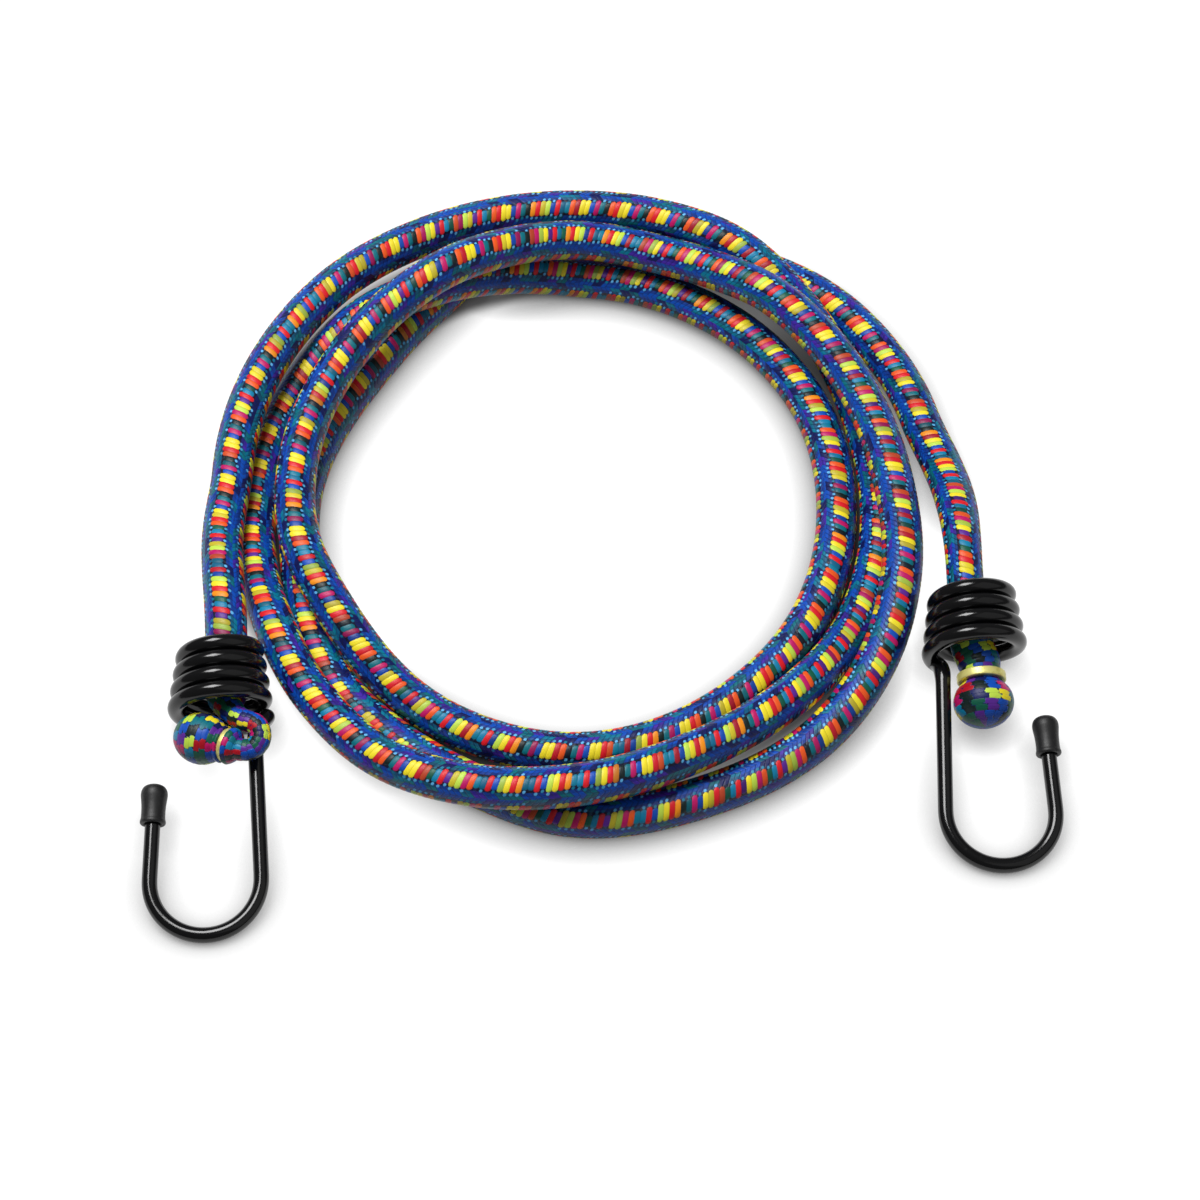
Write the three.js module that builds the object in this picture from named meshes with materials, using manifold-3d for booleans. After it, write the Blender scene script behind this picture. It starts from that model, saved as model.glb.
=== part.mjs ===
// Bungee cord: a braided elastic cord laid in a loose coil, with a sprung wire hook on each end.
// Millimetres, +Z up, the cord lies on the plane z = 0.
import * as THREE from 'three';
import { mergeVertices } from 'three/addons/utils/BufferGeometryUtils.js';
import Module from 'manifold-3d';

const wasm = await Module();
wasm.setup();

// Cord
const CORD_RADIUS = 4.5;
const SHEATH_BORE = 3.1;
const CORE_RADIUS = 2.75;
const CORD_SIDES = 8;
const CORE_SIDES = 6;
const FLOOR_CUT = 0.9;
const BUTT_GAP = 0.3;
const COIL_STEPS_PER_TURN = 30;
const COIL_END_STRAIGHT = 9;

// Coil lay: clockwise degrees from the left side, lane radius, height above the strands on the floor
const COIL_LAY = [
  [0, 77.2, 9.0], [30, 77.8, 11.0], [45, 78.1, 11.8], [60, 78.6, 10.8], [90, 79.8, 9.2], [105, 79.7, 9.5],
  [120, 78.6, 9.5], [135, 76.2, 5.0], [150, 73.5, 1.4], [165, 71.5, 0], [180, 71.0, 0], [200, 71.6, 0],
  [212, 72.3, 1.0], [225, 73.1, 4.2], [250, 76.0, 8.0], [270, 80.3, 9.8], [285, 82.4, 9.0], [300, 82.2, 6.8],
  [315, 79.2, 6.8], [330, 75.6, 6.4], [345, 73.4, 2.4], [360, 72.3, 0],
  [385, 72.0, 0.8], [405, 68.6, 8.0], [418, 64.8, 9.9], [435, 65.0, 5.2], [450, 65.8, 0.6], [480, 64.6, 0],
  [510, 62.6, 0], [540, 61.0, 0], [585, 63.4, 0], [630, 66.6, 0], [660, 64.2, 0.6], [690, 62.3, 8.2],
  [705, 63.0, 9.8], [720, 62.6, 9.8],
  [745, 61.8, 11.9], [765, 61.0, 16.6], [778, 60.6, 19.6], [795, 64.0, 16.4], [810, 68.2, 11.8], [830, 68.6, 9.9],
  [840, 68.6, 11.0], [852, 68.8, 13.2], [866, 69.8, 11.8], [885, 71.3, 9.8], [900, 73.2, 9.6], [920, 78.4, 7.8],
  [932, 81.3, 4.6], [945, 83.0, 1.2], [970, 82.8, 0], [990, 82.2, 0], [1005, 77.5, 0], [1020, 74.2, 0],
  [1035, 71.6, 0], [1050, 67.4, 0], [1065, 63.6, 0], [1080, 62.2, 0],
  [1125, 62.2, 0], [1138, 66.2, 0], [1155, 74.2, 0], [1170, 75.5, 0], [1200, 81.6, 0], [1215, 84.8, 0],
  [1232, 85.2, 0.4], [1246, 84.3, 2.0],
];

// Wire hook
const WIRE_RADIUS = 1.68;
const WIRE_SIDES = 8;
const SPRING_TURNS = 4.05;
const SPRING_PITCH = 3.79;
const SPRING_SMALL_RADIUS = 7.75;
const SPRING_MOUTH_RADIUS = 10.0;
const SPRING_STEPS_PER_TURN = 14;
const SHANK_TOP = 6.2;
const SHANK_TOP_OFFSET = 7.4;
const SHANK_BEND_STEPS = 7;
const SHANK_BEND_HANDLE = 4.2;
const BEND_RADIUS = 11.9;
const BEND_OFFSET = 3.5;
const BEND_DEPTH = 49.1;
const BEND_START_ANGLE = 182;
const BEND_END_ANGLE = -3;
const BEND_STEPS = 17;
const TIP_LEG = 19.7;
const FLOOR_CLEARANCE = 0.15;

// Tip cap
const CAP_LENGTH = 9.0;
const CAP_RADIUS = 2.9;
const CAP_WAIST = 2.6;
const CAP_RIM = 2.78;
const CAP_LIP = 1.0;
const CAP_WAIST_HEIGHT = 3.0;
const CAP_DOME = 2.4;
const EDGE_BREAK = 0.3;
const CAP_END_WALL = 1.5;
const CAP_FIT = 0.3;
const ROUND_SEGMENTS = 16;

// Cord ends behind the hooks: the neck leans on one side of the spring
const NECK_CLEARANCE = 0.3;
const NECK_LEAD = 2.5;
const END_SIDES = 12;
const RING_FIT = 0.3;
const WAIST_MARGIN = 0.3;
const BULB_STEPS = 8;

// Tail of each end from the neck to the waist under its ring: across, forward of the mouth, up, radius;
// squat is the length of the bulb as a share of its width
const TAIL_A = {
  rows: [
    [1.4, -3.4, 0.5, 3.9], [1.8, -1.8, 1.5, 3.2], [2.6, -0.2, 2.8, 2.7], [4.0, 1.7, 4.1, 2.35], [6.0, 3.2, 5.1, 2.2],
    [8.0, 4.3, 5.6, 2.2], [9.0, 6.1, 5.7, 2.2], [8.8, 8.2, 5.6, 2.2], [7.2, 9.7, 5.3, 2.2], [4.8, 9.7, 5.0, 2.3],
  ],
  neckEnd: -6.0,
  ring: [1.65, 8.2, 4.0],
  ringWay: [-0.87, -0.38, -0.3],
  ringWidth: 1.2,
  ringWall: 0.75,
  waist: 2.6,
  bulb: 5.5,
  squat: 1.14,
};
const TAIL_B = {
  rows: [[-0.9, -2.6, 0, 4.55], [-0.3, -0.6, 0, 4.6], [0.4, 1.4, 0, 4.6], [0.85, 3.0, 0, 4.5]],
  neckEnd: -5.0,
  ring: [1.05, 6.0, 0],
  ringWay: [0.03, 1, 0],
  ringWidth: 1.9,
  ringWall: 1.0,
  waist: 4.1,
  bulb: 6.5,
  squat: 0.88,
};

// Where the hooks lie: mouth of each spring, how far each one is turned on the floor, the degrees round the
// spring at which its last turn ends, its turns, and the side of the spring that the neck leans on
const HOOK_A = {
  x: -75.8, y: -61.4, turn: THREE.MathUtils.degToRad(3), roll: Math.PI, endAngle: 165, turns: 4.05, lean: 1,
};
const HOOK_B = {
  x: 89.3, y: -44.8, turn: THREE.MathUtils.degToRad(0.5), roll: 0, endAngle: 200, turns: 3.75, lean: -1,
};

const MATERIALS = {
  sheath: new THREE.MeshStandardMaterial({ color: 0x2c4fa8, roughness: 0.75, metalness: 0 }),
  latex: new THREE.MeshStandardMaterial({ color: 0xd8c9a4, roughness: 0.8, metalness: 0 }),
  hook: new THREE.MeshStandardMaterial({ color: 0x151515, roughness: 0.35, metalness: 0.4 }),
  cap: new THREE.MeshStandardMaterial({ color: 0x1b1b1b, roughness: 0.6, metalness: 0 }),
  ring: new THREE.MeshStandardMaterial({ color: 0xd9c25a, roughness: 0.35, metalness: 0.8 }),
};

const model = new THREE.Group();
const UP = new THREE.Vector3(0, 0, 1);

function addMesh(parent, name, geometry, material) {
  const mesh = new THREE.Mesh(geometry, material);
  mesh.name = name;
  parent.add(mesh);
  return mesh;
}

function tangents(points) {
  return points.map((p, i) => {
    const before = points[Math.max(i - 1, 0)];
    const after = points[Math.min(i + 1, points.length - 1)];
    return after.clone().sub(before).normalize();
  });
}

// Section axes along a path; carried along it from the first normal, or kept level with fixed = true
function sectionFrames(ways, firstNormal, fixed) {
  let normal = firstNormal.clone();
  return ways.map((tangent) => {
    const from = fixed ? firstNormal : normal;
    normal = from.clone().addScaledVector(tangent, -from.dot(tangent)).normalize();
    return { normal: normal.clone(), side: new THREE.Vector3().crossVectors(tangent, normal) };
  });
}

function ringPoints(centre, frame, radius, sides) {
  const ring = [];
  for (let k = 0; k < sides; k += 1) {
    const angle = (2 * Math.PI * (k + 0.5)) / sides;
    ring.push(centre.clone()
      .addScaledVector(frame.normal, radius * Math.cos(angle))
      .addScaledVector(frame.side, radius * Math.sin(angle)));
  }
  return ring;
}

// A closed tube of rings; a hollow one has an inner skin, open at the start, and also at the end if it is as
// long as the outer skin
function sweep(points, frames, outer, inner, sides) {
  const position = [];
  const index = [];
  const addRing = (i, radius) => {
    const first = position.length / 3;
    ringPoints(points[i], frames[i], radius, sides).forEach((p) => position.push(p.x, p.y, p.z));
    return first;
  };
  const addPoint = (p) => {
    position.push(p.x, p.y, p.z);
    return position.length / 3 - 1;
  };
  const band = (a, b) => {
    for (let k = 0; k < sides; k += 1) {
      const next = (k + 1) % sides;
      index.push(a + k, b + next, b + k, a + k, a + next, b + next);
    }
  };
  const cap = (ring, centre, flip) => {
    for (let k = 0; k < sides; k += 1) {
      const next = (k + 1) % sides;
      index.push(centre, ring + (flip ? k : next), ring + (flip ? next : k));
    }
  };
  const outerRings = outer.map((radius, i) => addRing(i, radius));
  outerRings.slice(1).forEach((ring, i) => band(outerRings[i], ring));
  const lastOuter = outerRings[outerRings.length - 1];
  if (!inner) {
    cap(outerRings[0], addPoint(points[0]), false);
    cap(lastOuter, addPoint(points[outer.length - 1]), true);
  } else {
    const innerRings = inner.map((radius, i) => addRing(i, radius));
    innerRings.slice(1).forEach((ring, i) => band(ring, innerRings[i]));
    const lastInner = innerRings[innerRings.length - 1];
    band(innerRings[0], outerRings[0]);
    if (inner.length === outer.length) {
      band(lastOuter, lastInner);
    } else {
      cap(lastInner, addPoint(points[inner.length - 1]), false);
      cap(lastOuter, addPoint(points[outer.length - 1]), true);
    }
  }
  const geometry = new THREE.BufferGeometry();
  geometry.setAttribute('position', new THREE.Float32BufferAttribute(position, 3));
  geometry.setIndex(index);
  geometry.computeVertexNormals();
  return geometry;
}

function tube(points, radius, bore, sides, fixed, ways = tangents(points)) {
  const frames = sectionFrames(ways, UP, fixed);
  return sweep(points, frames, points.map(() => radius), bore && points.map(() => bore), sides);
}

function solidOf(geometry) {
  const plain = geometry.clone();
  plain.deleteAttribute('normal');
  plain.deleteAttribute('uv');
  const merged = mergeVertices(plain);
  return new wasm.Manifold(new wasm.Mesh({
    numProp: 3,
    vertProperties: new Float32Array(merged.attributes.position.array),
    triVerts: new Uint32Array(merged.index.array),
  }));
}

function geometryOf(solid) {
  const mesh = solid.getMesh();
  const geometry = new THREE.BufferGeometry();
  geometry.setAttribute('position', new THREE.Float32BufferAttribute(mesh.vertProperties, 3));
  geometry.setIndex(new THREE.Uint32BufferAttribute(mesh.triVerts, 1));
  geometry.computeVertexNormals();
  return geometry;
}

// Removes what lies under z = 0
function cutAtFloor(geometry) {
  const box = new THREE.Box3().setFromBufferAttribute(geometry.attributes.position);
  const size = box.getSize(new THREE.Vector3()).addScalar(2 * CORD_RADIUS);
  const centre = box.getCenter(new THREE.Vector3());
  const below = new THREE.BoxGeometry(size.x, size.y, size.z);
  below.translate(centre.x, centre.y, -size.z / 2);
  return geometryOf(solidOf(geometry).subtract(solidOf(below)));
}

// Least gap between stretches of one tube that are further apart along it than skip
function selfGap(points, radius, skip) {
  const along = [0];
  points.slice(1).forEach((p, i) => along.push(along[i] + p.distanceTo(points[i])));
  let least = Infinity;
  for (let i = 0; i < points.length; i += 1) {
    for (let j = i + 1; j < points.length; j += 1) {
      if (along[j] - along[i] > skip) least = Math.min(least, points[i].distanceTo(points[j]));
    }
  }
  return { gap: least - 2 * radius, length: along[along.length - 1] };
}

// Smooth value of one column of the coil lay at an angle, through its rows
function layAt(angle, column) {
  const rows = COIL_LAY;
  const slope = (i) => (rows[i + 1][column] - rows[i][column]) / (rows[i + 1][0] - rows[i][0]);
  const knotSlope = (i) => {
    if (i === 0) return slope(0);
    if (i === rows.length - 1) return slope(i - 1);
    const before = rows[i][0] - rows[i - 1][0];
    const after = rows[i + 1][0] - rows[i][0];
    return (after * slope(i - 1) + before * slope(i)) / (before + after);
  };
  let i = rows.findIndex((row) => row[0] > angle) - 1;
  if (i < 0) i = rows.length - 2;
  const span = rows[i + 1][0] - rows[i][0];
  const t = (angle - rows[i][0]) / span;
  const rise = t * t * (3 - 2 * t);
  return rows[i][column] * (1 - rise) + rows[i + 1][column] * rise
    + span * (t * (1 - t) * (1 - t) * knotSlope(i) - t * t * (1 - t) * knotSlope(i + 1));
}

const FLOOR_STRAND_HEIGHT = CORD_RADIUS * Math.cos(Math.PI / CORD_SIDES) - FLOOR_CUT;

function coilPoint(clockwise) {
  const angle = Math.PI - THREE.MathUtils.degToRad(clockwise);
  const radius = layAt(clockwise, 1);
  return new THREE.Vector3(
    radius * Math.cos(angle),
    radius * Math.sin(angle),
    FLOOR_STRAND_HEIGHT + Math.max(0, layAt(clockwise, 2)),
  );
}

function coilPath(stepsPerTurn) {
  const last = COIL_LAY[COIL_LAY.length - 1][0];
  const steps = Math.round((last / 360) * stepsPerTurn);
  const points = [];
  for (let i = 0; i <= steps; i += 1) points.push(coilPoint((last * i) / steps));
  const startWay = points[0].clone().sub(points[1]).setZ(0).normalize();
  const endWay = points[steps].clone().sub(points[steps - 1]).normalize();
  points.unshift(points[0].clone().addScaledVector(startWay, COIL_END_STRAIGHT));
  points.push(points[steps + 1].clone().addScaledVector(endWay, COIL_END_STRAIGHT));
  return points;
}

const coil = coilPath(COIL_STEPS_PER_TURN);
const coilGap = selfGap(coilPath(4 * COIL_STEPS_PER_TURN), CORD_RADIUS, 10 * CORD_RADIUS);
console.log(`coil: length ${coilGap.length.toFixed(1)} mm, least gap to itself ${coilGap.gap.toFixed(2)} mm`);

addMesh(model, 'coil_sheath', cutAtFloor(tube(coil, CORD_RADIUS, SHEATH_BORE, CORD_SIDES, true)), MATERIALS.sheath);
addMesh(model, 'coil_core', tube(coil, CORE_RADIUS, null, CORE_SIDES, true), MATERIALS.latex);

// Hook frame: x across, -y forward from the mouth of the spring to the bend, z up from the plane of the bend
const rad = THREE.MathUtils.degToRad;

function springPoint(turnsFromMouth, endAngle) {
  const angle = rad(endAngle) - turnsFromMouth * 2 * Math.PI;
  const share = turnsFromMouth / SPRING_TURNS;
  const radius = SPRING_MOUTH_RADIUS + (SPRING_SMALL_RADIUS - SPRING_MOUTH_RADIUS) * share;
  return new THREE.Vector3(radius * Math.cos(angle), turnsFromMouth * SPRING_PITCH, radius * Math.sin(angle));
}

function bendPoint(angle) {
  const a = rad(angle);
  const centre = BEND_DEPTH - BEND_RADIUS;
  return new THREE.Vector3(BEND_OFFSET + BEND_RADIUS * Math.cos(a), -(centre + BEND_RADIUS * Math.sin(a)), 0);
}

const tipWay = new THREE.Vector3(Math.sin(rad(BEND_END_ANGLE)), Math.cos(rad(BEND_END_ANGLE)), 0);
const tipEnd = bendPoint(BEND_END_ANGLE).addScaledVector(tipWay, TIP_LEG);

// The wire from its tip round the bend, along the shank and up the spring to the small end
function wirePath(springSteps, { endAngle, turns }) {
  const points = [tipEnd.clone(), bendPoint(BEND_END_ANGLE).addScaledVector(tipWay, TIP_LEG / 2)];
  for (let i = 0; i <= BEND_STEPS; i += 1) {
    points.push(bendPoint(BEND_END_ANGLE + ((BEND_START_ANGLE - BEND_END_ANGLE) * i) / BEND_STEPS));
  }
  const shankTop = new THREE.Vector3(-SHANK_TOP_OFFSET, -SHANK_TOP, 0);
  const shankFoot = bendPoint(BEND_START_ANGLE);
  const shankWay = shankTop.clone().sub(shankFoot).normalize();
  points.push(shankFoot.clone().lerp(shankTop, 0.5));
  const mouth = springPoint(0, endAngle);
  const mouthWay = mouth.clone().sub(springPoint(0.01, endAngle)).normalize();
  const turnIn = new THREE.CubicBezierCurve3(
    shankTop,
    shankTop.clone().addScaledVector(shankWay, SHANK_BEND_HANDLE),
    mouth.clone().addScaledVector(mouthWay, SHANK_BEND_HANDLE),
    mouth,
  );
  points.push(...turnIn.getPoints(SHANK_BEND_STEPS));
  const steps = Math.round(turns * springSteps);
  for (let i = 1; i <= steps; i += 1) points.push(springPoint((turns * i) / steps, endAngle));
  return points;
}

[HOOK_A, HOOK_B].forEach((place) => {
  const wireGap = selfGap(wirePath(4 * SPRING_STEPS_PER_TURN, place), WIRE_RADIUS, 8 * WIRE_RADIUS);
  console.log(`hook wire: length ${wireGap.length.toFixed(1)} mm, least gap to itself ${wireGap.gap.toFixed(2)} mm`);
});

function capGeometry() {
  const bore = WIRE_RADIUS + CAP_FIT;
  const socket = CAP_LENGTH - CAP_END_WALL;
  const profile = [
    new THREE.Vector2(0, socket),
    new THREE.Vector2(bore, socket),
    new THREE.Vector2(bore, 0),
    new THREE.Vector2(CAP_RIM - EDGE_BREAK, 0),
    new THREE.Vector2(CAP_RIM, EDGE_BREAK),
    new THREE.Vector2(CAP_RIM, CAP_LIP),
    new THREE.Vector2(CAP_WAIST, CAP_WAIST_HEIGHT),
    new THREE.Vector2(CAP_RADIUS, CAP_LENGTH - CAP_DOME),
  ];
  const domeSteps = 4;
  for (let i = 1; i <= domeSteps; i += 1) {
    const a = ((Math.PI / 2) * i) / domeSteps;
    const radius = i === domeSteps ? 0 : CAP_RADIUS * Math.cos(a);
    profile.push(new THREE.Vector2(radius, CAP_LENGTH - CAP_DOME + CAP_DOME * Math.sin(a)));
  }
  return new THREE.LatheGeometry(profile, ROUND_SEGMENTS);
}

function ringGeometry({ waist, ringWidth, ringWall }) {
  const bore = waist + RING_FIT;
  const outer = bore + ringWall;
  const half = ringWidth / 2;
  const profile = [
    new THREE.Vector2(bore, -half),
    new THREE.Vector2(outer - EDGE_BREAK, -half),
    new THREE.Vector2(outer, -half + EDGE_BREAK),
    new THREE.Vector2(outer, half - EDGE_BREAK),
    new THREE.Vector2(outer - EDGE_BREAK, half),
    new THREE.Vector2(bore, half),
    new THREE.Vector2(bore, -half),
  ];
  return new THREE.LatheGeometry(profile, ROUND_SEGMENTS + 8);
}

// The neck is off the spring's axis by this much, so that it lies on the small end
const NECK_OFFSET = SPRING_SMALL_RADIUS - WIRE_RADIUS - CORD_RADIUS - NECK_CLEARANCE;
const NECK_START = SPRING_TURNS * SPRING_PITCH + WIRE_RADIUS + NECK_LEAD;

// Distance from the ring and radius of the rings of a bulb, from the waist to its far end
function bulbRows({ waist, bulb, squat, ringWidth }) {
  const rows = [];
  const first = Math.asin(waist / bulb);
  const centre = ringWidth / 2 + WAIST_MARGIN + squat * bulb * Math.cos(first);
  for (let i = 0; i <= BULB_STEPS; i += 1) {
    const a = first + ((Math.PI - 0.25 - first) * i) / BULB_STEPS;
    rows.push([centre - squat * bulb * Math.cos(a), bulb * Math.sin(a)]);
  }
  return rows;
}

// One cord end: a straight neck in the spring, the tail in front of it with its bulb, and the ring
function addEnd(group, name, across, tail) {
  const local = ([x, forward, z]) => new THREE.Vector3(x === null ? across : x, -forward, z);
  const neckStart = new THREE.Vector3(across, NECK_START, 0);
  const neckEnd = new THREE.Vector3(across, -tail.neckEnd, 0);
  const neck = [neckStart, neckEnd];
  addMesh(group, `neck_${name}_sheath`, tube(neck, CORD_RADIUS, SHEATH_BORE, END_SIDES, false), MATERIALS.sheath);
  addMesh(group, `neck_${name}_core`, tube(neck, CORE_RADIUS, null, CORE_SIDES, false), MATERIALS.latex);
  const ringAt = local(tail.ring);
  const ringWay = local([tail.ringWay[0], tail.ringWay[1], tail.ringWay[2]]).normalize();
  const tailStart = neckEnd.clone().setY(neckEnd.y - BUTT_GAP);
  const points = [tailStart, tailStart.clone().setY(tailStart.y - 1)];
  const radii = [CORD_RADIUS, CORD_RADIUS];
  tail.rows.forEach((row) => {
    points.push(local(row));
    radii.push(row[3]);
  });
  bulbRows(tail).forEach(([along, radius], i) => {
    if (i === 0) {
      points.push(ringAt.clone().addScaledVector(ringWay, -along));
      radii.push(radius);
    }
    points.push(ringAt.clone().addScaledVector(ringWay, along));
    radii.push(radius);
  });
  const frames = sectionFrames(tangents(points), UP, false);
  addMesh(group, `tail_${name}`, sweep(points, frames, radii, null, END_SIDES), MATERIALS.sheath);
  const ring = addMesh(group, `crimp_ring_${name}`, ringGeometry(tail), MATERIALS.ring);
  ring.position.copy(ringAt);
  ring.quaternion.setFromUnitVectors(new THREE.Vector3(0, 1, 0), ringWay);
  return neckStart;
}

// Height and dip of a hook whose spring and bend both lie on the floor
function hookRest({ roll, endAngle }) {
  const lowest = springPoint((endAngle + 90 * Math.round(Math.cos(roll))) / 360, endAngle);
  const springDepth = Math.hypot(lowest.x, lowest.z) + WIRE_RADIUS;
  const dip = Math.atan((springDepth - WIRE_RADIUS) / (BEND_DEPTH + lowest.y));
  const height = springDepth * Math.cos(dip) - lowest.y * Math.sin(dip) + FLOOR_CLEARANCE;
  return { dip, height };
}

function hookGroup(place) {
  const { dip, height } = hookRest(place);
  const group = new THREE.Group();
  group.position.set(place.x, place.y, height);
  group.rotation.set(dip, 0, place.turn, 'ZXY');
  model.add(group);
  return group;
}

function addHook(group, name, place) {
  const rolled = new THREE.Group();
  rolled.rotation.y = place.roll;
  group.add(rolled);
  const wire = wirePath(SPRING_STEPS_PER_TURN, place);
  addMesh(rolled, `hook_${name}`, tube(wire, WIRE_RADIUS, null, WIRE_SIDES, false), MATERIALS.hook);
  const cap = addMesh(rolled, `tip_cap_${name}`, capGeometry(), MATERIALS.cap);
  cap.position.copy(tipEnd).addScaledVector(tipWay, CAP_FIT - (CAP_LENGTH - CAP_END_WALL));
  cap.quaternion.setFromUnitVectors(new THREE.Vector3(0, 1, 0), tipWay);
}

// Lead from an end of the coil to a neck, one smooth stretch
const LEAD_STEPS = 6;
const LEAD_HANDLE = 0.35;

function addLead(name, coilEnd, coilWay, group, neckStart) {
  model.updateMatrixWorld(true);
  const neckWay = new THREE.Vector3(0, -1, 0).transformDirection(group.matrixWorld);
  const from = coilEnd.clone().addScaledVector(coilWay, BUTT_GAP);
  const to = neckStart.clone().applyMatrix4(group.matrixWorld).addScaledVector(neckWay, -BUTT_GAP);
  const reach = from.distanceTo(to);
  const curve = new THREE.CubicBezierCurve3(
    from,
    from.clone().addScaledVector(coilWay, LEAD_HANDLE * reach),
    to.clone().addScaledVector(neckWay, -LEAD_HANDLE * reach),
    to,
  );
  const points = curve.getPoints(LEAD_STEPS);
  const ways = points.map((point, i) => curve.getTangent(i / LEAD_STEPS));
  const sheath = tube(points, CORD_RADIUS, SHEATH_BORE, CORD_SIDES, true, ways);
  addMesh(model, `lead_${name}_sheath`, sheath, MATERIALS.sheath);
  addMesh(model, `lead_${name}_core`, tube(points, CORE_RADIUS, null, CORE_SIDES, true, ways), MATERIALS.latex);
}

const groupA = hookGroup(HOOK_A);
const groupB = hookGroup(HOOK_B);
const neckA = addEnd(groupA, 'a', HOOK_A.lean * NECK_OFFSET, TAIL_A);
const neckB = addEnd(groupB, 'b', HOOK_B.lean * NECK_OFFSET, TAIL_B);
addHook(groupA, 'a', HOOK_A);
addHook(groupB, 'b', HOOK_B);
const last = coil.length - 1;
addLead('a', coil[0], coil[0].clone().sub(coil[1]).normalize(), groupA, neckA);
addLead('b', coil[last], coil[last].clone().sub(coil[last - 1]).normalize(), groupB, neckB);

// The origin is the middle of the floor under the whole part
const box = new THREE.Box3().setFromObject(model, true);
const middle = box.getCenter(new THREE.Vector3());
model.position.set(-middle.x, -middle.y, 0);

export default model;
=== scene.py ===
"""Looks of the bungee cord over the CAD frame: braided cord, bulbs, crimp rings, wire hooks and tip caps.

Lengths are in millimetres until a mesh is made, and angles are in degrees unless a name says otherwise.
"""
import math

import bpy
import numpy as np
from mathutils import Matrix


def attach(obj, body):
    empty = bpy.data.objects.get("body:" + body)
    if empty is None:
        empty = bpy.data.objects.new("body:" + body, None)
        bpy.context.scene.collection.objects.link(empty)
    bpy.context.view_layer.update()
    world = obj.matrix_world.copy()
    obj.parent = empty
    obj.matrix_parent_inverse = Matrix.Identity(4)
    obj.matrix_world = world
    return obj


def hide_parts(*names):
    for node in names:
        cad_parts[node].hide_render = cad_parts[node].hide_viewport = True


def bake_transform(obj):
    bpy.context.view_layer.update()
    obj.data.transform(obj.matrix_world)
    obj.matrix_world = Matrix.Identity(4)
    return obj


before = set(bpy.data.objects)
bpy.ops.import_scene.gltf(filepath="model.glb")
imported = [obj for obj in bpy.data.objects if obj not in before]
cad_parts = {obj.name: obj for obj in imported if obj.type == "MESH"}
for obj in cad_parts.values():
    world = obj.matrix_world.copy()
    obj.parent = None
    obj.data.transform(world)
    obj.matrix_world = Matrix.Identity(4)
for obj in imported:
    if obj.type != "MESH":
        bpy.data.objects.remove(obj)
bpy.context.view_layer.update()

MM = 0.001
UP = np.array([0.0, 0.0, 1.0])
WHITE = (1, 1, 1, 1)

# Where the middle of the coil lies from the middle of the whole part
COIL_CENTRE = np.array([-7.413, 13.883, 0.0])

# Cord
CORD_RADIUS = 4.4
CORD_SIDES = 48
CORD_LOWEST = 0.02
STRAND_HEIGHT = 4.2
SQUEEZE = 0.55
SQUEEZE_LENGTH = 24.0
COIL_STRAIGHT = 9.0
LEAD_HANDLE = 0.35
# Lay of the coil: degrees clockwise from its left, radius, and height over a strand that lies on the floor
COIL_LAY = np.array([
    (0, 77.2, 9.0), (30, 77.8, 11.0), (45, 78.1, 11.8), (60, 78.6, 10.8), (90, 79.8, 9.2),
    (105, 79.7, 9.5), (120, 78.6, 9.5), (135, 76.2, 5.0), (150, 73.5, 1.4), (165, 71.5, 0),
    (180, 71.0, 0), (200, 71.6, 0), (212, 72.3, 1.0), (225, 73.1, 4.2), (250, 76.0, 8.0),
    (270, 80.3, 9.8), (285, 82.4, 9.0), (300, 82.2, 6.8), (315, 79.2, 6.8), (330, 75.6, 6.4),
    (345, 73.4, 2.4), (360, 72.3, 0), (385, 72.0, 0.8), (405, 68.6, 8.0), (418, 64.8, 9.9),
    (435, 65.0, 5.2), (450, 65.8, 0.6), (480, 64.6, 0), (510, 62.6, 0), (540, 61.0, 0),
    (585, 63.4, 0), (630, 66.6, 0), (660, 64.2, 0.6), (690, 62.3, 8.2), (705, 63.0, 9.8),
    (720, 62.6, 9.8), (745, 61.8, 11.9), (765, 61.0, 16.6), (778, 60.6, 19.6), (795, 64.0, 16.4),
    (810, 68.2, 11.8), (830, 68.6, 9.9), (840, 68.6, 11.0), (852, 68.8, 13.2), (866, 69.8, 11.8),
    (885, 71.3, 9.8), (900, 73.2, 9.6), (920, 78.4, 7.8), (932, 81.3, 4.6), (945, 83.0, 1.2),
    (970, 82.8, 0), (990, 82.2, 0), (1005, 77.5, 0), (1020, 74.2, 0), (1035, 71.6, 0),
    (1050, 67.4, 0), (1065, 63.6, 0), (1080, 62.2, 0), (1125, 62.2, 0), (1138, 66.2, 0),
    (1155, 74.2, 0), (1170, 75.5, 0), (1200, 81.6, 0), (1215, 84.8, 0), (1232, 85.2, 0.4),
    (1246, 84.3, 2.0),
], dtype=float)
# The solids cut the coil into this many steps, and the leads leave along the first and the last
COIL_CAD_STEPS = 104
# How far the colour bands are turned from facing the viewer, along the coil
COIL_TWIST = np.array([
    (0, -5), (90, 0), (180, 6), (270, 16), (360, -4), (450, -19), (540, -10), (630, 6), (720, 4),
    (810, -14), (900, -8), (990, -8), (1080, 6), (1170, 8), (1246, 0),
], dtype=float)

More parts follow.
